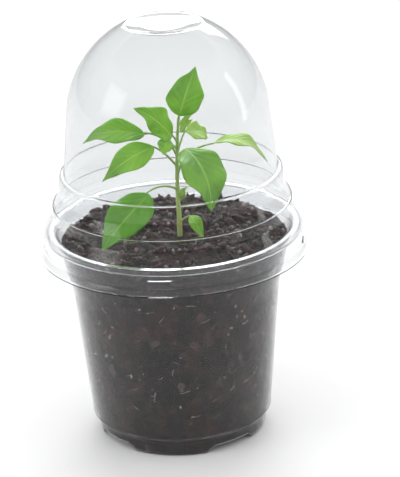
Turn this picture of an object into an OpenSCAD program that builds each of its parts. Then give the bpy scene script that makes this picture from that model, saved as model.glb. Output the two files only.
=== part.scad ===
// Clear nursery pot with a clear humidity dome seated on its rim.
// The pot holds potting mix and one pepper seedling.
// Origin: centre of the base, on the surface that the feet stand on. +Z is up, -Y is the front.

/* [Pot] */
// Outer diameter of the pot's rolled rim
rim_d = 101.6; // [92:0.2:122]
// Height of the pot, from its feet to the top of the rim
pot_h = 87; // [72:0.5:105]
// Thickness of the pot's wall
pot_wall = 0.6; // [0.5:0.05:1]
// Width of the flat rim, measured inward from its edge
rim_w = 3.4; // [2.8:0.1:4]
// Height of the lip that turns down from the rim
lip_h = 2.2; // [1.5:0.1:2.6]
// Height of the flared collar below the rim
collar_h = 25; // [20:0.5:30]
// How far the collar flares outward over its height
collar_flare = 5.9; // [5:0.1:7]
// Diameter of the heel, where the straight wall meets the foot ring
heel_d = 72.8; // [68:0.2:76]

/* [Feet and floor] */
// Height of the heel above the feet
heel_z = 8.6; // [7.5:0.1:10]
// Height of the step between the foot ring and the heel
heel_step_h = 2.1; // [1.5:0.1:2.5]
// Diameter of the foot ring where it meets the floor
foot_d = 68; // [64:0.2:68]
// Radial width of the foot ring
foot_ring_w = 5; // [4:0.1:6]
// How far the floor stands above the feet
floor_lift = 3.4; // [3:0.1:3.8]
// Number of feet
foot_count = 4; // [3:1:5]
// Turn of the front foot from straight ahead, in degrees
foot_turn = -10; // [-45:1:45]
// Height of the arch between two feet
arch_h = 2.5; // [1.5:0.1:2.6]
// Width of the arch at its top
arch_top_w = 16.4; // [10:0.2:18]
// Width of the arch at the ground
arch_base_w = 24; // [20:0.2:26]
// Diameter of a drain hole
drain_d = 8; // [5:0.5:10]
// Diameter of the ring of drain holes
drain_ring_d = 38; // [34:1:42]
// Number of drain holes in the ring
drain_count = 5; // [3:1:6]

/* [Dome] */
// Thickness of the dome's wall
dome_wall = 0.4; // [0.3:0.05:0.6]
// Gap between the pot's rim and the dome's band
band_clear = 0.3; // [0.2:0.05:0.6]
// Gap between the top of the rim and the dome's shoulder
seat_gap = 0.15; // [0.1:0.05:0.3]
// How far the band reaches below the top of the rim
band_drop = 7.7; // [6:0.1:9]
// Radial width of the flare and lip below the band
flange_w = 2.3; // [1.5:0.1:3]
// Height of the flare and lip below the band
flange_h = 2.3; // [1.5:0.1:3]
// Height of the sloping shoulder above the band
shoulder_h = 6; // [5:0.1:7]
// How far the shoulder comes in
shoulder_in = 3.9; // [3.5:0.1:4.5]
// Height of the lower step
low_step_h = 4.6; // [4:0.1:6]
// Height of the slope between the two steps
mid_slope_h = 5.4; // [4.5:0.1:6.5]
// How far the slope between the steps comes in
mid_slope_in = 2.2; // [1.8:0.1:2.6]
// Height of the upper step
high_step_h = 4.8; // [4:0.1:6]
// Height of the rounded ledge under the bell
ledge_h = 3.2; // [2.6:0.1:4]
// How far the ledge comes in
ledge_in = 2.2; // [1.8:0.1:2.6]
// Height of the bell's straight wall
bell_wall_h = 24.6; // [20:0.2:32]
// Lean of the bell's wall from upright, in degrees
bell_lean = 5.66; // [4:0.01:7]
// Radius of the arc that closes the bell
crown_r = 42.2; // [42:0.1:50]
// Diameter of the flat disc at the top
disc_d = 30.6; // [26:0.2:34]
// Number of raised lugs around the band
lug_count = 4; // [2:1:6]
// Width of a lug along the band
lug_w = 9.2; // [6:0.2:12]
// Height of a lug
lug_h = 3.2; // [2:0.1:4]
// How far a lug stands out of the band
lug_out = 0.7; // [0.4:0.05:0.9]
// Turn of the front lug from straight ahead, in degrees
lug_turn = -7; // [-45:1:45]

/* [Contents] */
// Depth from the rim's top to the mix, at the pot's wall
mix_drop = 6; // [5:0.1:10]
// How far the middle of the mix stands above its edge
mix_crown = 3.6; // [1:0.1:5]
// Gap between the mix and the pot's wall
mix_clear = 0.15; // [0.1:0.05:0.4]
// Diameter of the stem at the mix
stem_d = 2.4; // [2:0.1:3.2]
// Diameter of the stem at the growing tip
stem_top_d = 1.1; // [0.8:0.1:1.4]
// Diameter of a leaf's stalk
stalk_d = 0.9; // [0.7:0.05:1.1]
// Thickness of a leaf
leaf_t = 0.5; // [0.3:0.05:0.7]

/* [Hidden] */

$fn = 96;
cut = 1; // how far a cutting shape runs past the face that it cuts

// ---- Shell outlines ----
// A path climbs the outside of a shell as [radius, height] points. Its inner side is on the left.
function unit(v) = v / norm(v);
function left_of(a, b) = let (d = unit(b - a)) [-d[1], d[0]];
function inset_point(path, i, t) =
    i == 0 ? path[0] + t * left_of(path[0], path[1])
    : i == len(path) - 1 ? path[i] + t * left_of(path[i - 1], path[i])
    : let (n1 = left_of(path[i - 1], path[i]), n2 = left_of(path[i], path[i + 1]))
      path[i] + t * (n1 + n2) / (1 + n1 * n2);
function inset(path, t) = [for (i = [0 : len(path) - 1]) inset_point(path, i, t)];
function reversed(list) = [for (i = [len(list) - 1 : -1 : 0]) list[i]];
function shell_outline(path, t) = concat(path, reversed(inset(path, t)));

// ---- Pot ----
rim_r = rim_d / 2;
throat_r = rim_r - rim_w;
collar_r = throat_r - collar_flare;
heel_r = heel_d / 2;
foot_r = foot_d / 2;
foot_top_r = foot_r + 0.3;
foot_top_z = heel_z - heel_step_h;
floor_r = foot_r - foot_ring_w;

body_path = [[0, 0], [foot_r, 0], [foot_top_r, foot_top_z], [heel_r, heel_z],
             [collar_r, pot_h - collar_h], [throat_r, pot_h]];
rim_path = [[throat_r - pot_wall / 2, pot_h - pot_wall], [rim_r - pot_wall, pot_h - pot_wall],
            [rim_r - pot_wall, pot_h - lip_h]];

// One arch between two feet, grown by t
module arch(t) {
    rotate([90, 0, 90])
        linear_extrude(height = foot_r + cut)
            polygon([[-arch_base_w / 2 - t, -cut], [arch_base_w / 2 + t, -cut],
                     [arch_base_w / 2 + t, 0], [arch_top_w / 2 + t, arch_h + t],
                     [-arch_top_w / 2 - t, arch_h + t], [-arch_base_w / 2 - t, 0]]);
}

// Everything inside the pot's outer face, shrunk by t, without the hollow under the floor
module pot_form(t, top_z) {
    inner = inset(body_path, t);
    difference() {
        rotate_extrude()
            polygon(concat(inner, [[inner[len(inner) - 1][0], top_z], [0, top_z]]));
        translate([0, 0, -cut])
            cylinder(r = floor_r + t, h = cut + floor_lift + t);
        for (i = [0 : foot_count - 1])
            rotate(foot_turn - 90 + (i + 0.5) * 360 / foot_count)
                arch(t);
    }
}

module drain_holes() {
    for (i = [0 : drain_count - 1])
        rotate(i * 360 / drain_count)
            translate([drain_ring_d / 2, 0, 0])
                cylinder(d = drain_d, h = heel_z);
    cylinder(d = drain_d, h = heel_z);
}

module pot() {
    color("WhiteSmoke", 0.5)
    union() {
        difference() {
            pot_form(0, pot_h);
            pot_form(pot_wall, pot_h + cut);
            drain_holes();
        }
        rotate_extrude()
            polygon(shell_outline(rim_path, pot_wall));
    }
}

// ---- Dome ----
band_r = rim_r + band_clear + dome_wall;
band_top_z = pot_h + seat_gap;
band_z = pot_h - band_drop;
flange_r = band_r + flange_w;
flange_z = band_z - flange_h;
flange_flat = 0.9;
shoulder_r = band_r - shoulder_in;
shoulder_z = band_top_z + shoulder_h;
low_step_in = 0.9;
low_step_z = shoulder_z + low_step_h;
slope_r = shoulder_r - low_step_in;
high_step_r = slope_r - mid_slope_in;
high_step_z = low_step_z + mid_slope_h;
ledge_z = high_step_z + high_step_h;
bell_r = high_step_r - ledge_in;
bell_z = ledge_z + ledge_h;
wall_top_r = bell_r - bell_wall_h * tan(bell_lean);
wall_top_z = bell_z + bell_wall_h;
crown_centre = [wall_top_r - crown_r * cos(bell_lean), wall_top_z - crown_r * sin(bell_lean)];
disc_r = disc_d / 2;
disc_z = crown_centre[1] + sqrt(pow(crown_r, 2) - pow(disc_r - crown_centre[0], 2));

dome_path = [[flange_r, flange_z + dome_wall], [flange_r - flange_flat, flange_z + dome_wall],
             [band_r, band_z], [band_r, band_top_z], [shoulder_r, shoulder_z],
             [shoulder_r, low_step_z], [slope_r, low_step_z], [high_step_r, high_step_z],
             [high_step_r, ledge_z], [high_step_r - 0.2 * ledge_in, ledge_z + 0.6 * ledge_h],
             [bell_r, bell_z], [wall_top_r, wall_top_z]];

module crown_section() {
    intersection() {
        difference() {
            translate(crown_centre) circle(r = crown_r);
            translate(crown_centre) circle(r = crown_r - dome_wall);
        }
        // Beyond the disc's edge and above the end of the straight wall
        polygon([[disc_r, disc_z + cut],
                 [disc_r, crown_centre[1] + (disc_r - crown_centre[0]) * tan(bell_lean)],
                 [wall_top_r + cut, wall_top_z + cut * tan(bell_lean)],
                 [wall_top_r + cut, disc_z + cut]]);
    }
}

module lug() {
    rotate([90, 0, 0])
        linear_extrude(height = band_r + lug_out)
            translate([-lug_w / 2, band_z + 0.5])
                square([lug_w, lug_h]);
}

module humidity_dome() {
    color("AliceBlue", 0.35)
    union() {
        rotate_extrude() {
            polygon(shell_outline(dome_path, dome_wall));
            crown_section();
            translate([0, disc_z - dome_wall]) square([disc_r, dome_wall]);
        }
        intersection() {
            difference() {
                cylinder(r = band_r + lug_out, h = pot_h);
                translate([0, 0, -cut]) cylinder(r = band_r - dome_wall / 2, h = pot_h + 2 * cut);
            }
            for (i = [0 : lug_count - 1])
                rotate(lug_turn + i * 360 / lug_count)
                    lug();
        }
    }
}

// ---- Mix and what lies on it ----
mix_z = pot_h - mix_drop;
function mix_top(r) = mix_z + mix_crown * (0.5 + 0.5 * cos(180 * min(1, r / throat_r)));
mix_rings = 10;

module potting_mix() {
    gap = pot_wall + mix_clear;
    color("#2e2621")
    difference() {
        intersection() {
            pot_form(gap, pot_h + cut);
            rotate_extrude()
                polygon(concat([[0, 0], [rim_r, 0]],
                               [for (i = [mix_rings : -1 : 0])
                                   let (r = rim_r * i / mix_rings) [r, mix_top(r)]]));
        }
        translate([stem_base[0], stem_base[1], mix_z - stem_depth])
            cylinder(d = stem_d + 2 * mix_clear, h = stem_depth + mix_crown + cut);
    }
}

// Grains lie in a sunflower pattern between two radii, each resting on the mix
golden_angle = 137.5;
scatter_from = 12;
scatter_to = 0.76 * throat_r;
grain_d = 2;
chip_d = 2.4;

module scattered(count, size, turn) {
    for (i = [0 : count - 1]) {
        r = scatter_from + (scatter_to - scatter_from) * sqrt(i / count);
        a = turn + i * golden_angle;
        translate([r * cos(a), r * sin(a), mix_top(r) + 0.55 * size])
            sphere(d = size, $fn = 24);
    }
}

module perlite_grains() {
    color("#d9cfcb")
    scattered(13, grain_d, 20);
}

module bark_chips() {
    color("#4a3526")
    scattered(9, chip_d, 185);
}

// ---- Seedling ----
// The stem stands upright in the mix and leans a little as it climbs
stem_depth = 8;
stem_path = [[2.3, -7, -stem_depth], [2.3, -7, mix_crown + 1.4], [2.4, -5.4, 11], [2.2, -3, 18],
             [2.5, -1, 29], [3, 0, 39], [3.8, 0, 48]];
stem_base = [stem_path[0][0], stem_path[0][1]];
stem_points = [for (p = stem_path) [p[0], p[1], mix_z + p[2]]];
stem_radii = [for (i = [0 : len(stem_path) - 1])
              (stem_d + (stem_top_d - stem_d) * max(0, i - 1) / (len(stem_path) - 2)) / 2];

function bezier(a, b, c, s) = pow(1 - s, 2) * a + 2 * s * (1 - s) * b + pow(s, 2) * c;
function across(way, face) = unit(cross(way, face));

// Faces of a skin over rings of n points each, with both ends closed
function skin_faces(rings, n) = concat(
    [[for (j = [0 : n - 1]) j]],
    [for (i = [0 : rings - 2]) for (j = [0 : n - 1]) let (k = (j + 1) % n)
        [i * n + j, (i + 1) * n + j, i * n + k]],
    [for (i = [0 : rings - 2]) for (j = [0 : n - 1]) let (k = (j + 1) % n)
        [i * n + k, (i + 1) * n + j, (i + 1) * n + k]],
    [[for (j = [n - 1 : -1 : 0]) (rings - 1) * n + j]]);

function ring_points(centre, way, face, r, n) =
    let (side = across(way, face), up = cross(side, way))
    [for (j = [0 : n - 1]) centre + r * (cos(j * 360 / n) * side + sin(j * 360 / n) * up)];

function path_way(points, i) =
    unit(points[min(i + 1, len(points) - 1)] - points[max(i - 1, 0)]);

// face is any direction that the tube never runs along
module tube(points, radii, face, n = 8) {
    rings = [for (i = [0 : len(points) - 1])
             for (p = ring_points(points[i], path_way(points, i), face, radii[i], n)) p];
    polyhedron(points = rings, faces = skin_faces(len(points), n), convexity = 4);
}

// A leaf is an arched sheet cut to a pointed outline. base and tip are the ends of its midrib,
// face is roughly the way its upper side looks, and rise is how far the midrib arches off a line.
function arc_radius(chord, rise) = (pow(chord / 2, 2) + pow(rise, 2)) / (2 * rise);

module leaf_outline(length, width) {
    side_r = arc_radius(length, width / 2);
    intersection() {
        translate([length / 2, side_r - width / 2]) circle(r = side_r);
        translate([length / 2, width / 2 - side_r]) circle(r = side_r);
    }
}

module leaf_sheet(length, width, rise) {
    arch_r = arc_radius(length, rise);
    intersection() {
        translate([0, 0, -2 * leaf_t])
            linear_extrude(height = rise + 4 * leaf_t)
                leaf_outline(length, width);
        translate([length / 2, 0, rise - arch_r])
            rotate([90, 0, 0])
                difference() {
                    cylinder(r = arch_r + leaf_t / 2, h = 2 * width, center = true);
                    cylinder(r = arch_r - leaf_t / 2, h = 2 * width + cut, center = true);
                }
    }
}

module leaf(base, tip, face, width, rise) {
    x = unit(tip - base);
    y = unit(cross(face, x));
    z = cross(x, y);
    color("#5f9e2e")
    multmatrix([[x[0], y[0], z[0], base[0]], [x[1], y[1], z[1], base[1]],
                [x[2], y[2], z[2], base[2] + mix_z], [0, 0, 0, 1]])
        leaf_sheet(norm(tip - base), width, rise);
}

// Leaves: base, tip, the way the upper side faces, width and rise. Heights count from the mix.
leaves = [
    [[4.4, 2.5, 51], [11.7, 1, 70], [0.3, -1, 0.2], 15, 1],
    [[1.2, -4, 44.2], [-13, -11, 58], [0.4, -0.8, 0.8], 13, 2.4],
    [[-9.6, -3, 45.4], [-34, -2, 41.5], [0, -0.6, 1], 11, 5.5],
    [[-6.4, -8.4, 41.4], [-26.6, -17, 31], [-0.2, -1, 0.7], 12, 2.3],
    [[-0.6, -5.6, 43], [-2.8, -10.6, 38.6], [0, -1, 1], 5, 1],
    [[6.6, 7.4, 42], [15.6, 16, 35], [0.2, -0.8, 1], 8, 2],
    [[6.6, -5.4, 39], [14.8, -22, 18.5], [0.5, -1, 0.6], 17, 5],
    [[17.8, 4, 37.2], [38.6, 0, 30.6], [0, -0.25, 1], 9, 4.8],
    [[-9.8, -12.4, 23.8], [-27.4, -26, 5], [0, -1, 0.8], 16, 3.8],
    [[6.8, -9.2, 12], [11.8, -16, 4.5], [0, -0.8, 1], 6, 2]];

module leaf_top() { leaf_of(0); }
module leaf_upper_left() { leaf_of(1); }
module leaf_far_left() { leaf_of(2); }
module leaf_mid_left() { leaf_of(3); }
module leaf_small_centre() { leaf_of(4); }
module leaf_back_right() { leaf_of(5); }
module leaf_large_right() { leaf_of(6); }
module leaf_far_right() { leaf_of(7); }
module leaf_low_left() { leaf_of(8); }
module leaf_low_right() { leaf_of(9); }

module leaf_of(i) {
    row = leaves[i];
    leaf(row[0], row[1], row[2], row[3], row[4]);
}

module seedling_stem() {
    color("#9db35a")
    tube(stem_points, stem_radii, [0, 1, 0]);
}

// A stalk leaves the stem at a height and bends to its leaf's base.
// Each row is the leaf's number, the height on the stem and the sag of the bend.
stalks = [[1, 40, 0], [2, 37, 3], [3, 30, 2], [4, 34, 0.5], [5, 35, 2], [6, 26, 1],
          [7, 33, 2], [8, 21, 4], [9, 8, 1.4]];
stalk_gap = 0.15;
stalk_steps = 5;

function stem_at(z) = [lookup(z, [for (p = stem_path) [p[2], p[0]]]),
                       lookup(z, [for (p = stem_path) [p[2], p[1]]]), z];
function stem_radius(z) = lookup(z, [for (i = [0 : len(stem_path) - 1]) [stem_path[i][2], stem_radii[i]]]);
function level(v) = [v[0], v[1], 0];

module stalk(row) {
    target = leaves[row[0]][0];
    core = stem_at(row[1]);
    out = unit(level(target - core));
    start = core + out * (stem_radius(row[1]) + stalk_d / 2 + stalk_gap);
    finish = target - unit(target - start) * 2 * stalk_gap;
    bend = (start + finish) / 2 + [0, 0, row[2]];
    points = [for (i = [0 : stalk_steps]) bezier(start, bend, finish, i / stalk_steps)];
    tube([for (p = points) p + [0, 0, mix_z]],
         [for (i = [0 : stalk_steps]) stalk_d / 2], [-out[1], out[0], 0.01], 6);
}

module leaf_stalks() {
    color("#8fae4b")
    for (row = stalks)
        stalk(row);
}

module growing_tip() {
    color("#b5c957")
    translate([0, 0, mix_z])
        for (lean = [0, 1]) {
            base = stem_at(stem_path[len(stem_path) - 1][2]) + [0.9 + 0.4 * lean, 0.8 - 3 * lean, -2];
            tube([base, base + [2.6, 0.8 - lean, 2.4], base + [5.4, 1 - 2 * lean, 4.4 - lean]],
                 [0.5, 0.7, 0.2], [0, 1, 0], 6);
        }
}

module axil_bud() {
    color("#a9c24f")
    translate([0, 0, mix_z])
        tube([[4.2, -4, 17], [5, -4.6, 19.4], [5.4, -4.4, 22]], [0.5, 1.3, 0.3], [0, 1, 0]);
}

pot();
humidity_dome();
potting_mix();
perlite_grains();
bark_chips();
seedling_stem();
leaf_stalks();
growing_tip();
axil_bud();
leaf_top();
leaf_upper_left();
leaf_far_left();
leaf_mid_left();
leaf_small_centre();
leaf_back_right();
leaf_large_right();
leaf_far_right();
leaf_low_left();
leaf_low_right();
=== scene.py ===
import math
import random

import bmesh
import bpy
from mathutils import Matrix, Vector, noise


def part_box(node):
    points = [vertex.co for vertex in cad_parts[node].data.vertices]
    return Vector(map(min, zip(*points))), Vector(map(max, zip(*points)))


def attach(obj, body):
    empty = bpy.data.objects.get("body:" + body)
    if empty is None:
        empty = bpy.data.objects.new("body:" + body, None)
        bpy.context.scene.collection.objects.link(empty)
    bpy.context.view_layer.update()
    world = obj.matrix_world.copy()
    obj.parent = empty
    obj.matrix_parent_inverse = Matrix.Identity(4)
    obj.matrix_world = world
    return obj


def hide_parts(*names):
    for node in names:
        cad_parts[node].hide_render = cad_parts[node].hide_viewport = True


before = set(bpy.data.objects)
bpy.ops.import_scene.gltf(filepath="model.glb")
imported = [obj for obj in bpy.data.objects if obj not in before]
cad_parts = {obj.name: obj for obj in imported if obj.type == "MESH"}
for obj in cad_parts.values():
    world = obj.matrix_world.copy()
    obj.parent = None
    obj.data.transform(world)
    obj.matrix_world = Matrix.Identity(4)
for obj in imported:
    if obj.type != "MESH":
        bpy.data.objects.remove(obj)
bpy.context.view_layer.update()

MM = 0.001

# ---- Sizes read from the frame, in metres ----
POT_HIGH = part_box("pot")[1]
DOME_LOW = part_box("humidity_dome")[0]
RIM_R = POT_HIGH.x
RIM_Z = POT_HIGH.z
FLANGE_Z = DOME_LOW.z
MIX_Z = RIM_Z - 6 * MM  # where the mix meets the wall, and where the plant's heights count from
FRONT = -90.0  # the front is -Y
SEED = 7


# ---- Small helpers ----
def lerp(a, b, t):
    """The value a part t of the way from a to b."""
    return a + (b - a) * t


def smooth(t):
    """0 below 0 and 1 above 1, with a soft rise between them."""
    t = min(1.0, max(0.0, t))
    return t * t * (3 - 2 * t)


def place_object(name, data):
    """A new object in the scene that shows data."""
    ob = bpy.data.objects.new(name, data)
    bpy.context.collection.objects.link(ob)
    return ob


def bmesh_object(name, bm):
    """A new object with bm's mesh. bm is used up."""
    mesh = bpy.data.meshes.new(name)
    bm.to_mesh(mesh)
    bm.free()
    return place_object(name, mesh)


def shade_smooth(mesh):
    """Smooth shading on every face."""
    for poly in mesh.polygons:
        poly.use_smooth = True


def mesh_object(name, verts, faces, material, uvs=None):
    """A smooth-shaded mesh object. uvs, if given, is one pair for each vertex."""
    mesh = bpy.data.meshes.new(name)
    mesh.from_pydata([tuple(v) for v in verts], [], faces)
    mesh.update()
    if uvs:
        layer = mesh.uv_layers.new(name="UVMap")
        for loop in mesh.loops:
            layer.data[loop.index].uv = uvs[loop.vertex_index]
    shade_smooth(mesh)
    mesh.materials.append(material)
    return place_object(name, mesh)


def apply_modifiers(ob):
    """Replaces an object's mesh with what its modifiers make of it."""
    dg = bpy.context.evaluated_depsgraph_get()
    done = bpy.data.meshes.new_from_object(ob.evaluated_get(dg))
    ob.modifiers.clear()
    ob.data = done
    return ob


def seat(ob, body, slot, *nodes):
    """The last step of every piece: it rides a body and stands for CAD nodes. The slot argument is
    not used.
    """
    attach(ob, body)
    if nodes:
        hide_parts(*nodes)
    return ob


# ---- Node materials ----
class Mat:
    """A node material with its Principled shader, and short names for the nodes that feed it."""

    def __init__(self, name, rough, ior=1.45):
        self.m = bpy.data.materials.new(name)
        self.m.use_nodes = True
        self.nt = self.m.node_tree
        self.bsdf = self.nt.nodes["Principled BSDF"]
        self.out = self.nt.nodes["Material Output"]
        self.bsdf.inputs["Roughness"].default_value = rough
        self.bsdf.inputs["IOR"].default_value = ior

    def node(self, kind, **values):
        """A new node. Each value sets the node's own setting of that name, or else its input."""
        n = self.nt.nodes.new(kind)
        for key, value in values.items():
            if hasattr(n, key):
                setattr(n, key, value)
            else:
                n.inputs[key.replace("_", " ")].default_value = value
        return n

    def link(self, a, b):
        """Joins an output to an input."""
        self.nt.links.new(a, b)

    def set(self, **values):
        """Sets the shader's own inputs."""
        for key, value in values.items():
            self.bsdf.inputs[key.replace("_", " ")].default_value = value

    def coords(self, which="Object"):
        """Texture coordinates of one kind."""
        return self.node("ShaderNodeTexCoord").outputs[which]

    def noise(self, where, scale, detail=4.0, rough=0.55):
        """Noise from 0 to 1. The higher the scale, the finer it is."""
        n = self.node("ShaderNodeTexNoise")
        n.inputs["Scale"].default_value = scale
        n.inputs["Detail"].default_value = detail
        n.inputs["Roughness"].default_value = rough
        self.link(where, n.inputs["Vector"])
        return n.outputs[0]

    def cells(self, where, scale, feature="F1"):
        """A Voronoi node, for crumbs, flecks and the net of a leaf."""
        n = self.node("ShaderNodeTexVoronoi", feature=feature)
        n.inputs["Scale"].default_value = scale
        self.link(where, n.inputs["Vector"])
        return n

    def ramp(self, value, *stops):
        """Colour stops as (position, (r, g, b)), driven by value."""
        n = self.node("ShaderNodeValToRGB")
        while len(n.color_ramp.elements) < len(stops):
            n.color_ramp.elements.new(0.5)
        for element, (place, colour) in zip(n.color_ramp.elements, stops):
            element.position = place
            element.color = (*colour, 1)
        self.link(value, n.inputs[0])
        return n.outputs[0]

    def range(self, value, low, high, to_low=0.0, to_high=1.0):
        """value moved from one range to another, and held inside it."""
        n = self.node("ShaderNodeMapRange")
        for i, v in enumerate((low, high, to_low, to_high)):
            n.inputs[i + 1].default_value = v
        self.link(value, n.inputs[0])
        return n.outputs[0]

    def math(self, op, a, b=0.0):
        """A sum on one or two numbers or outputs."""
        n = self.node("ShaderNodeMath", operation=op)
        for i, v in enumerate((a, b)):
            if isinstance(v, (int, float)):
                n.inputs[i].default_value = v
            else:
                self.link(v, n.inputs[i])
        return n.outputs[0]

    def mix(self, factor, a, b):
        """Colour a where factor is 0, and colour b where it is 1."""
        n = self.node("ShaderNodeMix", data_type="RGBA")
        for socket, v in ((n.inputs[0], factor), (n.inputs[6], a), (n.inputs[7], b)):
            if isinstance(v, (int, float)):
                socket.default_value = v
            elif isinstance(v, tuple):
                socket.default_value = (*v, 1)
            else:
                self.link(v, socket)
        return n.outputs[2]

    def bump(self, height, strength, distance):
        """Tilts the surface by a height, which stands for a distance in metres."""
        n = self.node("ShaderNodeBump")
        n.inputs["Strength"].default_value = strength
        n.inputs["Distance"].default_value = distance
        self.link(height, n.inputs["Height"])
        self.link(n.outputs[0], self.bsdf.inputs["Normal"])

    def colour(self, socket):
        """Drives the shader's base colour."""
        self.link(socket, self.bsdf.inputs["Base Color"])

    def let_lamps_through(self, tint):
        """Shadow rays pass, so that what stands behind the clear wall is lit."""
        path = self.node("ShaderNodeLightPath")
        clear = self.node("ShaderNodeBsdfTransparent")
        clear.inputs[0].default_value = (*tint, 1)
        mix = self.node("ShaderNodeMixShader")
        self.link(path.outputs["Is Shadow Ray"], mix.inputs[0])
        self.link(self.bsdf.outputs[0], mix.inputs[1])
        self.link(clear.outputs[0], mix.inputs[2])
        self.link(mix.outputs[0], self.out.inputs[0])


def dome_material():
    """Clear PET: smooth gloss, with the faint ripple and streaks of a drawn sheet."""
    k = Mat("clear_dome_sheet", rough=0.03, ior=1.33)
    k.set(Transmission_Weight=1.0, Base_Color=(0.845, 0.857, 0.863, 1))
    where = k.coords()
    stretch = k.node("ShaderNodeMapping")
    stretch.inputs["Scale"].default_value = (1, 1, 0.25)
    k.link(where, stretch.inputs[0])
    ripple = k.noise(stretch.outputs[0], scale=28, detail=2.0)
    k.bump(ripple, strength=0.10, distance=0.6 * MM)
    haze = k.noise(where, scale=60, detail=5.0)
    k.link(k.range(haze, 0.35, 0.75, to_low=0.015, to_high=0.06), k.bsdf.inputs["Roughness"])
    k.let_lamps_through((0.93, 0.94, 0.95))
    return k.m


def pot_material():
    """Clear polypropylene, a little milky, with a faint frost and fine scuffs."""
    k = Mat("clear_pot_sheet", rough=0.1, ior=1.3)
    k.set(Base_Color=(0.90, 0.905, 0.92, 1), Transmission_Weight=0.99)
    where = k.coords()
    ripple = k.noise(where, scale=45, detail=3.0)
    k.bump(ripple, strength=0.06, distance=0.5 * MM)
    scuff = k.noise(where, scale=260, detail=6.0, rough=0.7)
    k.link(k.range(scuff, 0.4, 0.8, to_low=0.05, to_high=0.2), k.bsdf.inputs["Roughness"])
    k.let_lamps_through((0.86, 0.87, 0.88))
    return k.m


def mix_material():
    """Moist peat and bark fines: near black, with brown patches, grey crumbs and pale flecks."""
    k = Mat("moist_potting_mix", rough=0.75)
    k.set(Specular_IOR_Level=0.3)
    where = k.coords()
    broad = k.noise(where, scale=70, detail=6.0, rough=0.65)
    fine = k.noise(where, scale=420, detail=6.0, rough=0.7)
    base = k.ramp(broad, (0.3, (0.0025, 0.0012, 0.001)), (0.5, (0.016, 0.006, 0.0045)),
                  (0.66, (0.085, 0.032, 0.024)))
    crumb = k.cells(where, scale=330)
    grey = k.ramp(crumb.outputs["Color"], (0.0, (0.004, 0.003, 0.0025)),
                  (0.7, (0.010, 0.006, 0.0045)), (0.88, (0.060, 0.028, 0.020)),
                  (1.0, (0.20, 0.15, 0.13)))
    body = k.mix(0.55, base, grey)
    fleck = k.cells(where, scale=150)
    spot = k.math("MULTIPLY", k.range(fleck.outputs["Distance"], 0.20, 0.12),
                  k.range(k.noise(where, scale=150, detail=1.0), 0.60, 0.66))
    k.colour(k.mix(spot, body, (0.34, 0.28, 0.27)))
    height = k.math("ADD", k.math("MULTIPLY", crumb.outputs["Distance"], 0.8), fine)
    k.bump(height, strength=0.9, distance=0.9 * MM)
    k.link(k.range(fine, 0.3, 0.7, to_low=0.45, to_high=0.95), k.bsdf.inputs["Roughness"])
    return k.m


def perlite_material():
    """Dull porous grains, off-white with a pinkish stain from the mix."""
    k = Mat("stained_perlite", rough=0.8)
    where = k.coords()
    stain = k.noise(where, scale=500, detail=4.0)
    k.colour(k.ramp(stain, (0.3, (0.10, 0.07, 0.06)), (0.5, (0.32, 0.26, 0.25)),
                    (0.7, (0.55, 0.48, 0.47))))
    k.bump(k.noise(where, scale=2600, detail=3.0), strength=0.6, distance=0.3 * MM)
    return k.m


def bark_material():
    """Rough bark fines, dark to reddish brown, with grain along the chip."""
    k = Mat("bark_fines", rough=0.5)
    where = k.coords("Generated")
    stretch = k.node("ShaderNodeMapping")
    stretch.inputs["Scale"].default_value = (18, 90, 90)
    k.link(where, stretch.inputs[0])
    grain = k.noise(stretch.outputs[0], scale=4, detail=5.0, rough=0.65)
    k.colour(k.ramp(grain, (0.3, (0.005, 0.002, 0.0015)), (0.52, (0.045, 0.014, 0.010)),
                    (0.72, (0.18, 0.070, 0.050))))
    k.bump(grain, strength=0.8, distance=0.5 * MM)
    return k.m


def fibre_material():
    """Thin tan roots and peat fibres."""
    k = Mat("root_fibres", rough=0.7)
    tone = k.noise(k.coords(), scale=300, detail=3.0)
    k.colour(k.ramp(tone, (0.35, (0.09, 0.06, 0.045)), (0.65, (0.42, 0.34, 0.29))))
    return k.m


def stem_material():
    """Green stem, yellower and paler low down, with pale patches and a fine unevenness."""
    k = Mat("green_stem", rough=0.42)
    where = k.coords()
    split = k.node("ShaderNodeSeparateXYZ")
    k.link(where, split.inputs[0])
    climb = k.range(split.outputs["Z"], MIX_Z, MIX_Z + 48 * MM)
    tone = k.ramp(climb, (0.0, (0.48, 0.50, 0.15)), (0.35, (0.50, 0.64, 0.13)),
                  (0.6, (0.32, 0.50, 0.08)), (1.0, (0.20, 0.42, 0.04)))
    patch = k.noise(where, scale=500, detail=4.0)
    pale = k.range(patch, 0.35, 0.7, to_high=0.55)
    k.colour(k.mix(pale, tone, (0.50, 0.60, 0.28)))
    k.bump(patch, strength=0.3, distance=0.2 * MM)
    k.set(Subsurface_Weight=0.25, Subsurface_Scale=0.8 * MM)
    k.set(Subsurface_Radius=(0.6, 1.0, 0.2))
    return k.m


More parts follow.
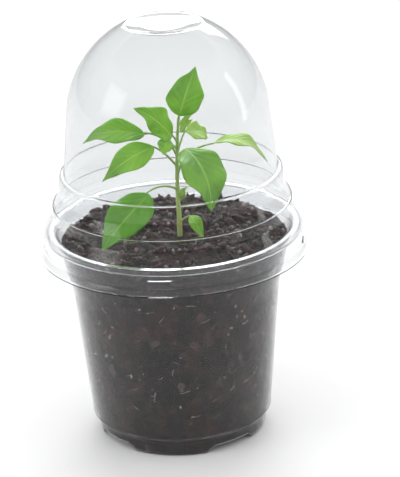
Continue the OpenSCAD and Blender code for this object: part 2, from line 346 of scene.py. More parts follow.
def leaf_material(name, dark, light, vein):
    """A leaf blade. The UV map runs across the blade in X and from base to tip in Y."""
    k = Mat(name, rough=0.38)
    side_veins = 7
    split = k.node("ShaderNodeSeparateXYZ")
    k.link(k.coords("UV"), split.inputs[0])
    along = split.outputs["Y"]
    off = k.math("ABSOLUTE", k.math("SUBTRACT", split.outputs["X"], 0.5))
    midrib = k.range(off, 0.035, 0.012)
    # Side veins leave the midrib and sweep toward the tip
    sweep = k.math("SUBTRACT", along, k.math("MULTIPLY", k.math("POWER", off, 0.8), 0.62))
    wave = k.math("ABSOLUTE", k.math("SINE", k.math("MULTIPLY", sweep, math.pi * side_veins)))
    side = k.range(wave, 0.16, 0.03)
    side = k.math("MULTIPLY", side, k.range(off, 0.48, 0.1, to_low=0.25))
    patch = k.noise(k.coords("Object"), scale=90, detail=4.0)
    cells = k.cells(k.coords("Object"), scale=900, feature="DISTANCE_TO_EDGE")
    blade = k.mix(k.range(patch, 0.3, 0.7), dark, light)
    net = k.range(cells.outputs["Distance"], 0.12, 0.0)
    blade = k.mix(k.math("MULTIPLY", net, 0.18), blade, vein)
    blade = k.mix(k.math("MULTIPLY", side, 0.32), blade, vein)
    k.colour(k.mix(k.math("MULTIPLY", midrib, 0.8), blade, vein))
    quilt = k.math("ADD", k.math("MULTIPLY", wave, 0.8), k.math("MULTIPLY", patch, 0.4))
    height = k.math("SUBTRACT", quilt, k.math("MULTIPLY", midrib, 0.8))
    k.bump(height, strength=0.35, distance=0.6 * MM)
    k.set(Subsurface_Weight=0.35, Subsurface_Scale=0.7 * MM)
    k.set(Subsurface_Radius=(0.5, 1.0, 0.15))
    return k.m


# ---- Lathed shells ----
TURNS = 256  # steps round a shell
AXIS_R = 1e-7  # a point nearer the axis than this is on it
HAIR = 0.001 * MM  # a difference too small to see
STEEP = 0.2  # a stretch of path that climbs more than this part of its length is steep


def arc(centre, radius, start, stop, steps):
    """Points on a circle in the (radius, height) plane, from one angle to another in degrees."""
    out = []
    for i in range(steps + 1):
        a = math.radians(lerp(start, stop, i / steps))
        out.append((centre[0] + radius * math.cos(a), centre[1] + radius * math.sin(a)))
    return out


def rounded(path, radius, steps=4):
    """The path with each inner corner replaced by a short curve."""
    out = [path[0]]
    for a, b, c in zip(path, path[1:], path[2:]):
        ab, bc = math.dist(a, b), math.dist(b, c)
        cut = min(radius, ab * 0.45, bc * 0.45)
        p = (lerp(b[0], a[0], cut / ab), lerp(b[1], a[1], cut / ab))
        q = (lerp(b[0], c[0], cut / bc), lerp(b[1], c[1], cut / bc))
        for i in range(steps + 1):
            t = i / steps
            out.append(tuple((1 - t) ** 2 * p[k] + 2 * t * (1 - t) * b[k] + t * t * q[k]
                             for k in (0, 1)))
    out.append(path[-1])
    return out


def inset(path, t):
    """The path moved by t to its left, which is a shell's inner side."""
    def left(a, b):
        """The unit normal on the left of a to b."""
        d = math.dist(a, b)
        return (-(b[1] - a[1]) / d, (b[0] - a[0]) / d)

    out = []
    for i, p in enumerate(path):
        n1 = left(path[max(i - 1, 0)], path[max(i, 1)])
        n2 = left(path[min(i, len(path) - 2)], path[min(i + 1, len(path) - 1)])
        k = 1 + n1[0] * n2[0] + n1[1] * n2[1]
        out.append((max(0.0, p[0] + t * (n1[0] + n2[0]) / k), p[1] + t * (n1[1] + n2[1]) / k))
    return out


def lathe(name, loop, material, shape, extra=()):
    """Revolves a closed outline of (radius, height) points. shape places each point, and extra
    holds angles that get a step of their own."""
    angles = sorted([2 * math.pi * j / TURNS for j in range(TURNS)] + list(extra))
    count = len(angles)
    verts, faces, ring = [], [], []
    for r, z in loop:
        if r < AXIS_R:
            ring.append([len(verts)] * count)
            verts.append(Vector((0, 0, z)))
            continue
        ring.append(list(range(len(verts), len(verts) + count)))
        verts += [shape(r, z, a) for a in angles]
    for a, b in zip(ring, ring[1:] + ring[:1]):
        for j in range(count):
            k = (j + 1) % count
            quad = [a[j], a[k], b[k], b[j]]
            quad = [v for i, v in enumerate(quad) if v != quad[i - 1]]
            if len(set(quad)) >= 3:
                faces.append(quad)
    ob = mesh_object(name, verts, faces, material)
    bm = bmesh.new()
    bm.from_mesh(ob.data)
    bmesh.ops.recalc_face_normals(bm, faces=bm.faces)
    bm.to_mesh(ob.data)
    bm.free()
    return ob


# ---- Dome ----
DOME_WALL = 0.4 * MM
BAND_R = RIM_R + 0.7 * MM
BELL_LEAN = math.radians(5.66)
BELL_H = 24.6 * MM
CROWN_R = 42.2 * MM
DISC_R = 15.3 * MM
DISH = 0.7 * MM  # the disc is a shallow dish, so that its edge reads as a ring


def dome_path():
    """The dome's outer face from the lip up to the middle of the crown's disc."""
    z = FLANGE_Z
    lip_r = BAND_R + 2.3 * MM
    band_z = z + 2.3 * MM
    band_top = RIM_Z + 0.15 * MM
    low_r = BAND_R - 3.9 * MM
    low_z = band_top + 6 * MM
    mid_z = low_z + 4.6 * MM
    high_z = mid_z + 5.4 * MM
    ledge_z = high_z + 4.8 * MM
    bell_z = ledge_z + 3.2 * MM
    mid_r = low_r - 0.9 * MM
    high_r = mid_r - 2.2 * MM
    bell_r = high_r - 2.2 * MM
    top_z = bell_z + BELL_H
    top_r = bell_r - BELL_H * math.tan(BELL_LEAN)
    centre = (top_r - CROWN_R * math.cos(BELL_LEAN), top_z - CROWN_R * math.sin(BELL_LEAN))
    disc_angle = math.degrees(math.acos((DISC_R - centre[0]) / CROWN_R))
    skirt = [(lip_r, z + DOME_WALL), (lip_r - 0.9 * MM, z + DOME_WALL), (BAND_R, band_z),
             (BAND_R, band_top), (low_r, low_z), (low_r, mid_z), (mid_r, mid_z + 0.25 * MM),
             (high_r, high_z), (high_r, ledge_z), (high_r - 0.2 * MM, ledge_z + 1.5 * MM),
             (high_r - 0.8 * MM, ledge_z + 2.35 * MM), (bell_r + 0.3 * MM, ledge_z + 2.5 * MM),
             (bell_r, bell_z), (top_r, top_z)]
    bell = arc(centre, CROWN_R, math.degrees(BELL_LEAN), disc_angle, 40)
    disc_z = bell[-1][1]
    disc = [(DISC_R - 0.8 * MM, disc_z - 0.15 * MM), (DISC_R - 1.6 * MM, disc_z - DISH),
            (DISC_R * 0.5, disc_z - DISH), (0.0, disc_z - DISH)]
    return rounded(skirt, radius=0.9 * MM) + bell[1:] + disc


LUG_COUNT = 4
LUG_PITCH = 360 / LUG_COUNT
LUG_TURN = 7  # degrees to the left of the front
LUG_HALF = math.degrees(4.6 * MM / BAND_R)
LUG_END = 0.3  # degrees over which a lug's end falls to the band
LUG_OUT = 0.7 * MM
LUG_LOW = FLANGE_Z + 2.8 * MM
LUG_HIGH = FLANGE_Z + 6.0 * MM
LUG_EDGE = 0.05 * MM  # height over which a lug's top and bottom fall to the band


def lug_edges():
    """Angles just inside and outside each lug's two ends, so that the ends come out steep."""
    out = []
    for k in range(LUG_COUNT):
        middle = FRONT - LUG_TURN + LUG_PITCH * k
        for side in (-1, 1):
            for step in (0.0, LUG_END):
                out.append(math.radians((middle + side * (LUG_HALF + step)) % 360))
    return out


def band_lug(r, z, a):
    """Four low raised pads around the band, one a little left of the front."""
    turn = (math.degrees(a) - FRONT + LUG_TURN) % LUG_PITCH
    off = min(turn, LUG_PITCH - turn)
    on_pad = off < LUG_HALF + 0.01 and LUG_LOW - HAIR < z < LUG_HIGH + HAIR
    on_band = abs(r - BAND_R) < 1.0 * MM and z < RIM_Z
    if on_pad and on_band:
        r += LUG_OUT
    return Vector((r * math.cos(a), r * math.sin(a), z))


def dense(path, step, top):
    """The path with its steep stretches cut into steps, up to a height."""
    out = [path[0]]
    for a, b in zip(path, path[1:]):
        steep = abs(b[1] - a[1]) > STEEP * math.dist(a, b)
        n = max(1, round(math.dist(a, b) / step)) if steep and b[1] < top else 1
        for i in range(1, n + 1):
            out.append((lerp(a[0], b[0], i / n), lerp(a[1], b[1], i / n)))
    return out


def make_dome():
    """The dome's shell, with rings of points just above and below the lugs' edges."""
    outer = dense(dome_path(), step=0.3 * MM, top=RIM_Z + 1 * MM)
    below = [p for p in outer if p[1] < LUG_LOW - 2 * LUG_EDGE]
    steps = [(BAND_R, z) for z in (LUG_LOW - LUG_EDGE, LUG_LOW, LUG_HIGH, LUG_HIGH + LUG_EDGE)]
    above = [p for p in outer if p[1] > LUG_HIGH + 2 * LUG_EDGE]
    outer = below + steps + above
    inner = inset(outer, DOME_WALL)
    inner[-1] = (0.0, inner[-1][1])
    dome = lathe("humidity_dome_shell", outer + inner[::-1], dome_material(), band_lug, lug_edges())
    dome.data.set_sharp_from_angle(angle=math.radians(50))
    seat(dome, "dome", "dome_plastic", "humidity_dome")


# ---- Pot ----
POT_WALL = 0.6 * MM
FLOOR_Z = 3.4 * MM
FOOT_R = 34 * MM
FOOT_TOP_Z = 5.9 * MM
HEEL_R = 36.4 * MM
HEEL_LOW_R = 36.2 * MM  # just under the heel, at the end of the step out from the foot ring
HEEL_Z = 8.6 * MM
FOOT_PITCH = 90  # degrees from one foot to the next
FOOT_TURN = 10  # degrees to the left of the front
ARCH_H = 2.5 * MM
ARCH_HALF = 12.0 * MM  # half the width of an arch at the ground
ARCH_SIDE = 3.8 * MM  # how far an arch's side leans in on its way up
DRAIN_R = 4 * MM
DRAIN_COUNT = 5
DRAIN_RING_R = 19 * MM


def pot_wall_r(z):
    """The pot's outer radius at a height, from the heel up."""
    collar_z = RIM_Z - 25 * MM
    throat_r = RIM_R - 3.4 * MM
    collar_r = throat_r - 5.9 * MM
    if z < collar_z:
        return lerp(HEEL_R, collar_r, (z - HEEL_Z) / (collar_z - HEEL_Z))
    return lerp(collar_r, throat_r, (z - collar_z) / (RIM_Z - collar_z))


def arch_lift(a):
    """How far the foot ring is lifted off the ground at an angle: an arch between each two feet."""
    turn = (math.degrees(a) - FRONT + FOOT_TURN + FOOT_PITCH / 2) % FOOT_PITCH
    off = math.radians(min(turn, FOOT_PITCH - turn))
    across = FOOT_R * math.sin(off)
    return ARCH_H * smooth((ARCH_HALF - across) / ARCH_SIDE)


def pot_shape(r, z, a):
    """Points low on the foot ring are pushed up out of the arches. Everything else is round."""
    on_ring = FOOT_R - 5.2 * MM <= r <= FOOT_R + 0.5 * MM
    over = arch_lift(a) if on_ring else 0.0
    if z < over + POT_WALL * 1.6:
        inside = z > POT_WALL * 0.5
        z = max(z, over + (POT_WALL if inside else 0.0))
    return Vector((r * math.cos(a), r * math.sin(a), z))


def make_pot():
    """The pot's shell, from the middle of its floor round the foot ring to its rolled rim."""
    wall = [(FOOT_R - 1.0 * MM, 0.0), (FOOT_R, 0.9 * MM), (FOOT_R + 0.3 * MM, FOOT_TOP_Z),
            (HEEL_LOW_R, 8.1 * MM), (36.5 * MM, HEEL_Z), (36.42 * MM, 9.2 * MM),
            (pot_wall_r(61 * MM), 61 * MM), (pot_wall_r(63 * MM), 63 * MM),
            (pot_wall_r(RIM_Z - 1.2 * MM), RIM_Z - 1.2 * MM),
            (RIM_R - 3.0 * MM, RIM_Z - POT_WALL), (RIM_R - 1.2 * MM, RIM_Z - POT_WALL),
            (RIM_R - POT_WALL, RIM_Z - 1.1 * MM), (RIM_R - POT_WALL, RIM_Z - 2.2 * MM)]
    ring_in = FOOT_R - 5 * MM
    floor = [(0.0, FLOOR_Z), (ring_in - 0.5 * MM, FLOOR_Z), (ring_in, FLOOR_Z - 0.6 * MM),
             (ring_in + 0.2 * MM, 0.6 * MM), (ring_in + 0.9 * MM, 0.0)]
    path = rounded(floor + wall, radius=0.5 * MM, steps=2)
    outer = dense(path, step=0.5 * MM, top=8 * MM)
    inner = inset(outer, POT_WALL)
    inner[0] = (0.0, inner[0][1])
    pot = lathe("nursery_pot_shell", outer + inner[::-1], pot_material(), pot_shape)
    cut_drains(pot)
    seat(pot, "pot", "pot_plastic", "pot")


def cut_drains(pot):
    """Six round holes through the floor: one in the middle and five around it."""
    spots = [(0.0, 0.0)]
    for i in range(DRAIN_COUNT):
        a = 2 * math.pi * i / DRAIN_COUNT
        spots.append((DRAIN_RING_R * math.cos(a), DRAIN_RING_R * math.sin(a)))
    bm = bmesh.new()
    for x, y in spots:
        place = Matrix.Translation((x, y, FLOOR_Z + POT_WALL / 2))
        bmesh.ops.create_cone(bm, cap_ends=True, segments=40, radius1=DRAIN_R, radius2=DRAIN_R,
                              depth=2.0 * MM, matrix=place)
    cutter = bmesh_object("drain_cutter", bm)
    mod = pot.modifiers.new("drains", "BOOLEAN")
    mod.operation = "DIFFERENCE"
    mod.solver = "EXACT"
    mod.object = cutter
    apply_modifiers(pot)
    bpy.data.objects.remove(cutter)
    shade_smooth(pot.data)


# ---- Mix ----
MIX_EDGE_R = 47.4 * MM
MIX_CROWN = 3.4 * MM
MIX_GAP = 0.12 * MM  # clear space between the mix and the pot's wall
PERLITE_TOP, PERLITE_SIDE = 120, 230
BARK_TOP, BARK_SIDE = 460, 300
FIBRE_COUNT, FIBRE_POINTS = 150, 4
FIBRE_DEPTH = 0.22 * MM  # from the pot's inner face to a fibre's middle
GRAIN_SPREAD_R = 44 * MM
GRAIN_RISE = 0.12  # height of a grain's middle over the mix, as a part of its size
GRAIN_DEPTH = 0.62  # and its depth behind the pot's wall
PERLITE_SIZES = (0.7 * MM, 2.5 * MM)
BARK_SIZES = (1.4 * MM, 4.6 * MM)
STEM_X, STEM_Y = 2.3 * MM, -7 * MM  # where the stem leaves the mix
STEM_CLEAR = 3.5 * MM
TO_MM = 1000
WALL_NOISE_R = 40  # the wall's noise is read on a circle of this radius in millimetres


def layered(p, fineness, fade, layers, shift=(0, 0, 0)):
    """Layered noise. Each layer is 2.1 times as fine as the one before, and weaker by fade."""
    return noise.fractal(p * fineness + Vector(shift), fade, 2.1, layers)


def mix_top(x, y):
    """Height of the mix's surface: a low crown, a rise toward the back, and lumps."""
    r = math.hypot(x, y)
    t = min(1.0, r / MIX_EDGE_R)
    z = MIX_Z + MIX_CROWN * (0.5 + 0.5 * math.cos(math.pi * t))
    back = smooth((y + 5 * MM) / (40 * MM)) * smooth((44 * MM - r) / (12 * MM))
    left = smooth((20 * MM - x) / (40 * MM))
    z += back * (1.5 + 2.2 * left) * MM
    p = Vector((x, y, 0)) * TO_MM
    lump = layered(p, fineness=0.11, fade=0.9, layers=4) * 1.3
    crumb = layered(p, fineness=0.55, fade=0.8, layers=3, shift=(9, 3, 1)) * 0.75
    calm = smooth((r - 3.5 * MM) / (4 * MM)) * (0.35 + 0.65 * smooth((46 * MM - r) / (5 * MM)))
    return z + (lump + crumb) * MM * max(0.25, calm)


def mix_wall_r(z, a):
    """How far the mix reaches at a height and angle: the pot's inner face, less pits in the mix."""
    if z < HEEL_Z:
        full = lerp(FOOT_R, HEEL_LOW_R, smooth((z - FOOT_TOP_Z) / (2.5 * MM)))
    else:
        full = pot_wall_r(z)
    p = Vector((math.cos(a) * WALL_NOISE_R, math.sin(a) * WALL_NOISE_R, z * TO_MM))
    pit = max(0.0, layered(p, fineness=0.16, fade=0.8, layers=4)) * 1.3
    pit += max(0.0, layered(p, fineness=0.7, fade=0.8, layers=3)) * 0.6
    return full - POT_WALL - MIX_GAP - pit * MM * smooth((z - 4 * MM) / (8 * MM))


def make_mix():
    """A block of mix: lumpy on top, pressed against the pot's wall, and filling its hollow feet."""
    rings, turns, levels = 90, 300, 110
    ring_in = FOOT_R - 3.6 * MM
    base_z = FLOOR_Z + POT_WALL + 0.1 * MM
    verts, faces, rows = [Vector((0, 0, mix_top(0, 0)))], [], []

    def add_row(r_of, z_of):
        """One ring of points. r_of and z_of give radius and height from a step and its angle."""
        row = []
        for j in range(turns):
            a = 2 * math.pi * j / turns
            r, z = r_of(j, a), z_of(j, a)
            row.append(len(verts))
            verts.append(Vector((r * math.cos(a), r * math.sin(a), z)))
        rows.append(row)

    for i in range(1, rings + 1):
        part = i / rings
        add_row(lambda j, a: mix_wall_r(MIX_Z, a) * part,
                lambda j, a: mix_top(mix_wall_r(MIX_Z, a) * part * math.cos(a),
                                     mix_wall_r(MIX_Z, a) * part * math.sin(a)))
    tops = [verts[k].z for k in rows[-1]]
    feet = [arch_lift(2 * math.pi * j / turns) + POT_WALL + 0.2 * MM for j in range(turns)]
    for i in range(1, levels + 1):
        part = i / levels
        add_row(lambda j, a: mix_wall_r(lerp(tops[j], feet[j], part), a),
                lambda j, a: lerp(tops[j], feet[j], part))
    add_row(lambda j, a: ring_in, lambda j, a: feet[j])
    add_row(lambda j, a: ring_in - 0.9 * MM, lambda j, a: base_z)
    rows.append([len(verts)] * turns)
    verts.append(Vector((0, 0, base_z)))
    for j in range(turns):
        k = (j + 1) % turns
        faces.append((0, rows[0][j], rows[0][k]))
    for a, b in zip(rows, rows[1:]):
        for j in range(turns):
            k = (j + 1) % turns
            quad = (a[j], b[j], b[k], a[k])
            faces.append(quad if b[j] != b[k] else (a[j], b[j], a[k]))
    mix = mesh_object("potting_mix_block", verts, faces, mix_material())
    seat(mix, "pot", "potting_mix", "potting_mix")


def lump_mesh(bm, centre, size, squash, rng):
    """One irregular grain added to bm."""
    angle = rng.uniform(0, 6.28)
    axis = Vector((rng.uniform(-1, 1), rng.uniform(-1, 1), 1)).normalized()
    turn = Matrix.Rotation(angle, 4, axis)
    place = Matrix.Translation(centre) @ turn @ Matrix.Diagonal((*squash, 1))
    made = bmesh.ops.create_icosphere(bm, subdivisions=2, radius=size / 2,
                                      matrix=Matrix.Identity(4))
    shift = Vector((rng.uniform(-50, 50), rng.uniform(-50, 50), rng.uniform(-50, 50)))
    for v in made["verts"]:
        d = v.co.normalized()
        dent = 0.34 * noise.noise(d * 1.7 + shift)
        pit = 0.14 * noise.noise(d * 5 + shift)
        v.co = place @ (v.co * (1 + dent + pit))


def grain_cloud(name, material, top_count, side_count, sizes, squash_of, rng):
    """Grains half sunk in the mix: on its surface and against the pot's wall."""
    bm = bmesh.new()
    for i in range(top_count):
        r = GRAIN_SPREAD_R * math.sqrt(rng.random())
        a = rng.uniform(0, 2 * math.pi)
        x, y = r * math.cos(a), r * math.sin(a)
        if math.hypot(x - STEM_X, y - STEM_Y) < STEM_CLEAR:
            continue
        size = rng.uniform(*sizes)
        centre = Vector((x, y, mix_top(x, y) + size * GRAIN_RISE))
        lump_mesh(bm, centre, size, squash_of(rng), rng)
    for i in range(side_count):
        a = rng.uniform(0, 2 * math.pi)
        z = rng.uniform(12 * MM, MIX_Z - 2 * MM)
        size = rng.uniform(*sizes) * 0.8
        r = pot_wall_r(z) - POT_WALL - 0.1 * MM - size * GRAIN_DEPTH
        centre = Vector((r * math.cos(a), r * math.sin(a), z))
        lump_mesh(bm, centre, size, squash_of(rng), rng)
    cloud = bmesh_object(name, bm)
    cloud.data.materials.append(material)
    shade_smooth(cloud.data)
    return cloud


def make_grains():
    """Roundish perlite grains and flatter, longer bark chips."""
    rng = random.Random(SEED)
    perlite = grain_cloud("perlite_grain_cloud", perlite_material(), PERLITE_TOP, PERLITE_SIDE,
                          PERLITE_SIZES,
                          lambda r: (1, r.uniform(0.7, 1), r.uniform(0.6, 0.9)), rng)
    seat(perlite, "pot", "perlite", "perlite_grains")
    bark = grain_cloud("bark_chip_cloud", bark_material(), BARK_TOP, BARK_SIDE,
                       BARK_SIZES,
                       lambda r: (1.3, r.uniform(0.5, 0.8), r.uniform(0.35, 0.6)), rng)
    seat(bark, "pot", "bark", "bark_chips")


# ---- Tubes ----
def tube_mesh(points, radii, sides):
    """Vertices and faces of a tube along points, closed at both ends."""
    verts, faces = [], []
    up = Vector((0.3, 1, 0.2)).normalized()
    for i, p in enumerate(points):
        way = (points[min(i + 1, len(points) - 1)] - points[max(i - 1, 0)]).normalized()
        side = way.cross(up).normalized()
        up = side.cross(way).normalized()
        for j in range(sides):
            a = 2 * math.pi * j / sides
            verts.append(p + radii[i] * (math.cos(a) * side + math.sin(a) * up))
    for i in range(len(points) - 1):
        for j in range(sides):
            k = (j + 1) % sides
            faces.append((i * sides + j, i * sides + k, (i + 1) * sides + k, (i + 1) * sides + j))
    faces.append(tuple(range(sides))[::-1])
    faces.append(tuple(range((len(points) - 1) * sides, len(points) * sides)))
    return verts, faces


def spline(points, steps):
    """A smooth curve through points (Catmull-Rom)."""
    pts = [points[0] * 2 - points[1], *points, points[-1] * 2 - points[-2]]
    out = []
    for a, b, c, d in zip(pts, pts[1:], pts[2:], pts[3:]):
        for i in range(steps):
            t = i / steps
            out.append(0.5 * (2 * b + (c - a) * t + (2 * a - 5 * b + 4 * c - d) * t * t
                              + (3 * b - a - 3 * c + d) * t ** 3))
    out.append(points[-1].copy())
    return out


def joined_tubes(name, tubes, material):
    """One object made of several tubes."""
    verts, faces = [], []
    for tube_verts, tube_faces in tubes:
        base = len(verts)
        verts += tube_verts
        faces += [tuple(base + v for v in f) for f in tube_faces]
    return mesh_object(name, verts, faces, material)


def at(x, y, h):
    """A point of the plant: x and y in millimetres, and its height over the mix's edge."""
    return Vector((x * MM, y * MM, MIX_Z + h * MM))


STEM_LOW_R, STEM_TOP_R, STEM_H = 1.08, 0.48, 50  # millimetres
STEM = [at(2.3, -7, -6), at(2.3, -7, 3), at(2.4, -5.4, 11), at(2.2, -3, 18), at(2.5, -1, 29),
        at(3, 0, 39), at(3.8, 0, 48), at(4.2, 0.2, 50.5)]


def stem_at(h):
    """The point on the stem's middle at a height over the mix's edge, in millimetres."""
    z = MIX_Z + h * MM
    for a, b in zip(STEM, STEM[1:]):
        if a.z <= z <= b.z:
            return a.lerp(b, (z - a.z) / (b.z - a.z))
    return STEM[-1]


def stem_r(h):
    """The stem's radius at a height over the mix's edge, which is in millimetres."""
    return lerp(STEM_LOW_R, STEM_TOP_R, min(1.0, max(0.0, h / STEM_H))) * MM


# Leaves: CAD node, base, tip, the way the upper side faces, and on the second line width, arch,
# curl at the tip, fold, stalk's height on the stem (None for no stalk), how far the stalk bends up,
# and how drawn out the tip is. Fold and the last one are ratios, and the rest are millimetres.
LEAVES = [
    ("leaf_top", (4.4, 2.0, 50), (11.7, 1, 70), (0.3, -1, 0.2),
     15, 1.0, 0.5, 0.20, None, 0, 0.35),
    ("leaf_upper_left", (1.2, -4, 44.2), (-13, -11, 58), (0.5, -0.8, 0.7),
     12.5, 2.4, 1.0, 0.25, 40, 0, 0.2),
    ("leaf_far_left", (-9.6, -3, 45.4), (-34, -2, 41.5), (0, -0.75, 0.8),
     10.5, 5.5, 1.5, 0.22, 37, 3, 0.5),
    ("leaf_mid_left", (-6.4, -8.4, 41.4), (-26.6, -17, 31), (-0.2, -1, 0.6),
     11, 2.3, 1.0, 0.22, 30, 2, 0.45),
    ("leaf_small_centre", (-0.6, -5.6, 43), (-2.8, -10.6, 38.6), (0, -1, 0.7),
     6.5, 0.8, 0.3, 0.2, 34, 0.5, 0.2),
    ("leaf_back_right", (6.6, 7.4, 42), (15.6, 16, 35), (0.2, -0.8, 1),
     8.5, 2.0, 0.5, 0.25, 35, 2, 0.2),
    ("leaf_large_right", (6.6, -5.4, 39), (14.8, -22, 18.5), (0.5, -1, 0.6),
     18.5, 4.6, 1.0, 0.22, 26, 1, 0.1),
    ("leaf_far_right", (17.8, 4, 37.2), (38.6, 0, 30.6), (0, -0.25, 1),
     8, 4.8, 1.5, 0.25, 33, 2, 0.5),
    ("leaf_low_left", (-9.8, -12.4, 23.8), (-27.4, -26, 5), (0, -1, 0.8),
     15.5, 3.8, 0.5, 0.18, 21, 4, 0.2),
    ("leaf_low_right", (6.8, -9.2, 12), (11.8, -16, 4.5), (0, -0.8, 1),
     5.2, 2.6, 0.5, 0.3, 8, 1.4, 0.3),
]
# Youngest leaves: piece, CAD node, base, tip, the way the upper side faces, and on the second line
# width, arch, fold and seed
YOUNG_LEAVES = [
    ("growing_tip_back", "growing_tip", (4.4, 0.6, 46.4), (10.2, 2.4, 51), (0, -0.3, 1),
     2.6, 0.4, 0.5, 3),
    ("growing_tip_front", "growing_tip", (4.5, -1.2, 44.5), (9.4, -2.6, 49.6), (0.2, -0.5, 1),
     4.2, 0.6, 0.45, 4),
    ("axil_bud_outer", "axil_bud", (3.2, -3.8, 17.0), (6.2, -4.6, 22.4), (-0.8, -0.6, 0.4),
     3.4, 0.9, 0.5, 5),
    ("axil_bud_inner", "axil_bud", (3.3, -3.6, 17.2), (4.8, -4.4, 22), (0.6, -0.8, 0.4),
     2.6, 0.7, 0.5, 6),
]
YOUNG_CURL = 0.2
KNOTS = (8, 21, 26, 30, 35, 40)  # heights where the stem is thicker, in millimetres
KNOT_OUT = 0.16  # how much thicker, as a part of its radius
KNOT_HALF = 0.9  # and over what height up and down, in millimetres
STALK_LOW_R, STALK_TOP_R = 0.50, 0.32  # at the stem and at the leaf, in millimetres
LEAF_T = 0.3 * MM
LEAF_POINT = 0.12 * MM  # half the width of a leaf's two ends
ALONG, ACROSS = 40, 16  # steps along and across a leaf
EDGE_WAVE = 0.085  # how high the waves at a leaf's edge are, as a part of its width
STALK_STEPS = 12


def leaf_piece(name, base, tip, face, width, arch, curl, fold, material, seed, drawn=0.2):
    """A pepper leaf: broad below the middle, drawn to a point, folded on its midrib, wavy."""
    chord = tip - base
    length = chord.length
    x = chord.normalized()
    y = face.cross(x).normalized()
    z = x.cross(y)
    verts, uvs, faces = [], [], []
    for i in range(ALONG + 1):
        s = i / ALONG
        # Widest 40% of the way along, where the two factors with s make 0.32
        half = width / 2 * s ** 0.68 * (1 - s) / 0.32
        half *= 1 - drawn * smooth((s - 0.45) / 0.5)
        half = max(half, LEAF_POINT)
        rise = arch * 4 * s * (1 - s) - curl * smooth((s - 0.7) / 0.3) * 0.6
        sway = 0.035 * length * math.sin(s * 3.0 + seed)
        middle = base + x * (s * length) + z * rise + y * sway
        for j in range(ACROSS + 1):
            u = 2 * j / ACROSS - 1
            phase = s * 13 + seed * 1.7 + (1.5 if u > 0 else 0)
            wave = EDGE_WAVE * width * math.sin(phase) * abs(u) ** 2.2
            wave *= smooth(s * 4) * smooth((1 - s) * 4)
            lift = fold * half * (abs(u) ** 1.4) + wave - 0.12 * half * abs(u) ** 4
            verts.append(middle + y * (half * u) + z * lift)
            uvs.append((j / ACROSS, s))
    row = ACROSS + 1
    for i in range(ALONG):
        for j in range(ACROSS):
            a = i * row + j
            faces.append((a, a + 1, a + row + 1, a + row))
    leaf = mesh_object(name, verts, faces, material, uvs)
    mod = leaf.modifiers.new("blade", "SOLIDIFY")
    mod.thickness = LEAF_T
    mod.offset = 0
    return apply_modifiers(leaf)


def leaf_kinds():
    """The materials of the older leaves, and which leaf has which. The low leaf's darker green is
    partly its own colour and partly painted shade. The rest are fresh green.
    """
    fresh = leaf_material("leaf_fresh_green", (0.12, 0.37, 0.006), (0.29, 0.63, 0.020),
                          (0.46, 0.72, 0.09))
    deep = leaf_material("leaf_deep_green", (0.085, 0.28, 0.012), (0.23, 0.53, 0.030),
                         (0.36, 0.62, 0.10))
    # Darker green for the low leaf: partly its own colour, partly painted shade
    low = leaf_material("leaf_low_green_painted_shade", (0.060, 0.25, 0.003), (0.13, 0.40, 0.006),
                        (0.28, 0.54, 0.06))
    lime = leaf_material("leaf_young_lime", (0.28, 0.54, 0.04), (0.46, 0.68, 0.14),
                         (0.62, 0.78, 0.32))
    kinds = {"leaf_far_left": deep, "leaf_large_right": deep, "leaf_low_left": low,
             "leaf_back_right": lime, "leaf_far_right": lime}
    return fresh, lime, kinds


def stalk_tube(height, sag, leaf_base):
    """A stalk from a height on the stem to a leaf's base, in one bend."""
    foot = stem_at(height)
    bend = (foot + leaf_base) / 2 + Vector((0, 0, sag * MM))
    points, radii = [], []
    for k in range(STALK_STEPS + 1):
        t = k / STALK_STEPS
        points.append(foot * (1 - t) ** 2 + bend * 2 * t * (1 - t) + leaf_base * t * t)
        radii.append(lerp(STALK_LOW_R, STALK_TOP_R, t) * MM)
    return tube_mesh(points, radii, sides=10)


def make_stem(material):
    """The stem, a little thicker at each knot."""
    path = spline(STEM, steps=10)
    radii = []
    for p in path:
        h = (p.z - MIX_Z) / MM
        knot = sum(math.exp(-((h - k) / KNOT_HALF) ** 2) for k in KNOTS)
        radii.append(stem_r(h) * (1 + KNOT_OUT * knot))
    stem = joined_tubes("seedling_stem_tube", [tube_mesh(path, radii, sides=20)], material)
    seat(stem, "pot", "stem", "seedling_stem")


def make_young_leaves(material):
    """The two youngest leaves at the top of the stem and the bud in a low leaf's axil."""
    for name, node, base, tip, face, width, arch, fold, seed in YOUNG_LEAVES:
        leaf = leaf_piece(name, at(*base), at(*tip), Vector(face), width * MM, arch * MM,
                          YOUNG_CURL * MM, fold, material, seed)
        seat(leaf, "pot", "young_leaf", node)


def make_plant():
    """The leaves with their stalks, the stem and the young leaves."""
    fresh, lime, kinds = leaf_kinds()
    green = stem_material()
    tubes = []
    for seed, row in enumerate(LEAVES):
        name, base, tip, face, width, arch, curl, fold, height, sag, drawn = row
        blade = leaf_piece(name + "_blade", at(*base), at(*tip), Vector(face), width * MM,
                           arch * MM, curl * MM, fold, kinds.get(name, fresh), seed, drawn)
        seat(blade, "pot", "leaf", name)
        if height is not None:
            tubes.append(stalk_tube(height, sag, at(*base)))
    stalks = joined_tubes("leaf_stalk_tubes", tubes, green)
    seat(stalks, "pot", "stem", "leaf_stalks")
    make_stem(green)
    make_young_leaves(lime)


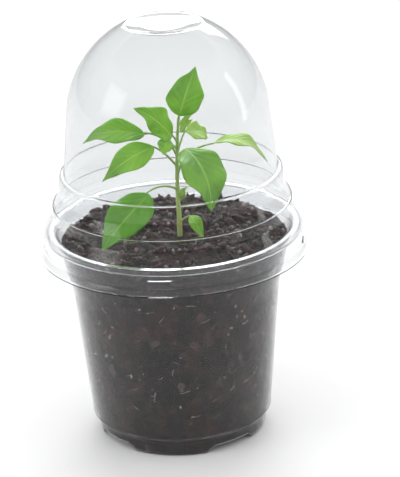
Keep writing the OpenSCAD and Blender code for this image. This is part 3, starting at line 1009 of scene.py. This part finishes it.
def make_fibres():
    """Thin roots and fibres pressed between the mix and the pot's wall."""
    rng = random.Random(SEED + 1)
    tubes = []
    for i in range(FIBRE_COUNT):
        a = rng.uniform(0, 2 * math.pi)
        z = rng.uniform(14 * MM, MIX_Z - 5 * MM)
        heading = rng.gauss(0.6, 0.5)
        step = rng.uniform(0.5, 1.5) * MM
        points = []
        for k in range(FIBRE_POINTS):
            r = pot_wall_r(z) - POT_WALL - FIBRE_DEPTH
            points.append(Vector((r * math.cos(a), r * math.sin(a), z)))
            heading += rng.uniform(-0.3, 0.3)
            a += math.cos(heading) * step / r
            z = min(MIX_Z - 2 * MM, max(10 * MM, z + math.sin(heading) * step))
        path = spline(points, steps=4)
        thick = rng.uniform(0.07, 0.17) * MM
        tubes.append(tube_mesh(path, [thick] * len(path), sides=6))
    fibres = joined_tubes("root_fibre_strands", tubes, fibre_material())
    seat(fibres, "pot", "bark")


# ---- Stage ----
FLOOR_HALF = 4.0
AIM = (0, 0, 0.10)
WINDOW_PANES = (0.54, 0.44, 0.34)
WINDOW_POWER = 2.4  # watts for each square metre
STRIP_PANES = (0.16, 0.10)
STRIP_H = 0.7
STRIP_POWER = 4.0  # watts for each square metre
AIR_STRENGTH = 1.03


def area_light(name, place, target, size, power, spread=180):
    """A rectangular light of a size (across, up) in metres that faces target."""
    data = bpy.data.lights.new(name, "AREA")
    data.spread = math.radians(spread)
    data.shape = "RECTANGLE"
    data.size, data.size_y = size
    data.energy = power
    ob = place_object(name, data)
    ob.location = place
    ob.rotation_euler = (Vector(target) - Vector(place)).to_track_quat("-Z", "Y").to_euler()


def make_floor():
    """A plain pale floor."""
    pale = Mat("pale_floor", rough=0.9)
    tone = pale.noise(pale.coords(), scale=3, detail=2.0)
    pale.colour(pale.ramp(tone, (0.3, (0.90, 0.90, 0.90)), (0.7, (0.93, 0.93, 0.93))))
    h = FLOOR_HALF
    corners = [Vector((x, y, 0)) for x, y in ((-h, -h), (h, -h), (h, h), (-h, h))]
    floor = mesh_object("studio_floor", corners, [(0, 1, 2, 3)], pale.m)


def make_air():
    """The light all round: grey near the floor and white overhead."""
    world = bpy.data.worlds.new("studio_air")
    bpy.context.scene.world = world
    world.use_nodes = True
    nt = world.node_tree
    back = nt.nodes["Background"]
    coords = nt.nodes.new("ShaderNodeTexCoord")
    split = nt.nodes.new("ShaderNodeSeparateXYZ")
    ramp = nt.nodes.new("ShaderNodeValToRGB")
    nt.links.new(coords.outputs["Generated"], split.inputs[0])
    nt.links.new(split.outputs["Z"], ramp.inputs[0])
    low, high = ramp.color_ramp.elements
    low.position = 0.18
    low.color = (0.40, 0.405, 0.41, 1)
    high.position = 0.62
    high.color = (1.0, 1.0, 1.0, 1)
    nt.links.new(ramp.outputs[0], back.inputs[0])
    back.inputs[1].default_value = AIR_STRENGTH


def make_lights():
    """A window at the left, a tall strip at the right and a wide soft light high at the back."""
    # Each pane of a window is smaller than the last, so that its reflection has soft edges
    for i, pane in enumerate(WINDOW_PANES):
        area_light(f"window_left_{i}", (-0.89 + i * 0.01, -0.34, 0.50), (0, 0, 0.14),
                   (pane, pane), WINDOW_POWER * pane ** 2)
    for i, pane in enumerate(STRIP_PANES):
        area_light(f"strip_right_{i}", (0.95 - i * 0.01, 0.05, 0.34), AIM,
                   (pane, STRIP_H), STRIP_POWER * pane * STRIP_H)
    area_light("back_top", (0.15, 1.3, 0.84), (0.02, 0, 0.12), size=(1.3, 0.66), power=2.6,
               spread=70)


def make_stage():
    """Floor, air and lights, and a plain colour transform."""
    make_floor()
    make_air()
    make_lights()
    view = bpy.context.scene.view_settings
    view.view_transform = "Standard"
    view.look = "None"


CAMERA_UP = math.radians(21.65)  # how far the camera stands above the horizon
CAMERA_ROLL = math.radians(2.86)
CAMERA_FAR = 1.0
CAMERA_LENS = 188.7  # millimetres, on a sensor 36 wide
CAMERA_SHIFT = (0.0532, 0.0153)


def make_camera():
    """A long lens a metre away, a little above, rolled slightly, with the object left of centre."""
    aim = Vector((0, 0, FLANGE_Z))
    back = Vector((0, -math.cos(CAMERA_UP), math.sin(CAMERA_UP)))
    right = Vector((1, 0, 0))
    up = back.cross(right)
    cam_right = right * math.cos(CAMERA_ROLL) - up * math.sin(CAMERA_ROLL)
    cam_up = up * math.cos(CAMERA_ROLL) + right * math.sin(CAMERA_ROLL)
    data = bpy.data.cameras.new("camera")
    data.sensor_width = 36
    data.lens = CAMERA_LENS
    data.shift_x, data.shift_y = CAMERA_SHIFT
    cam = place_object("camera", data)
    turn = Matrix((cam_right, cam_up, back)).transposed().to_4x4()
    cam.matrix_world = Matrix.Translation(aim + back * CAMERA_FAR) @ turn
    bpy.context.scene.camera = cam


make_camera()
make_stage()
make_pot()
make_mix()
make_grains()
make_fibres()
make_plant()
make_dome()
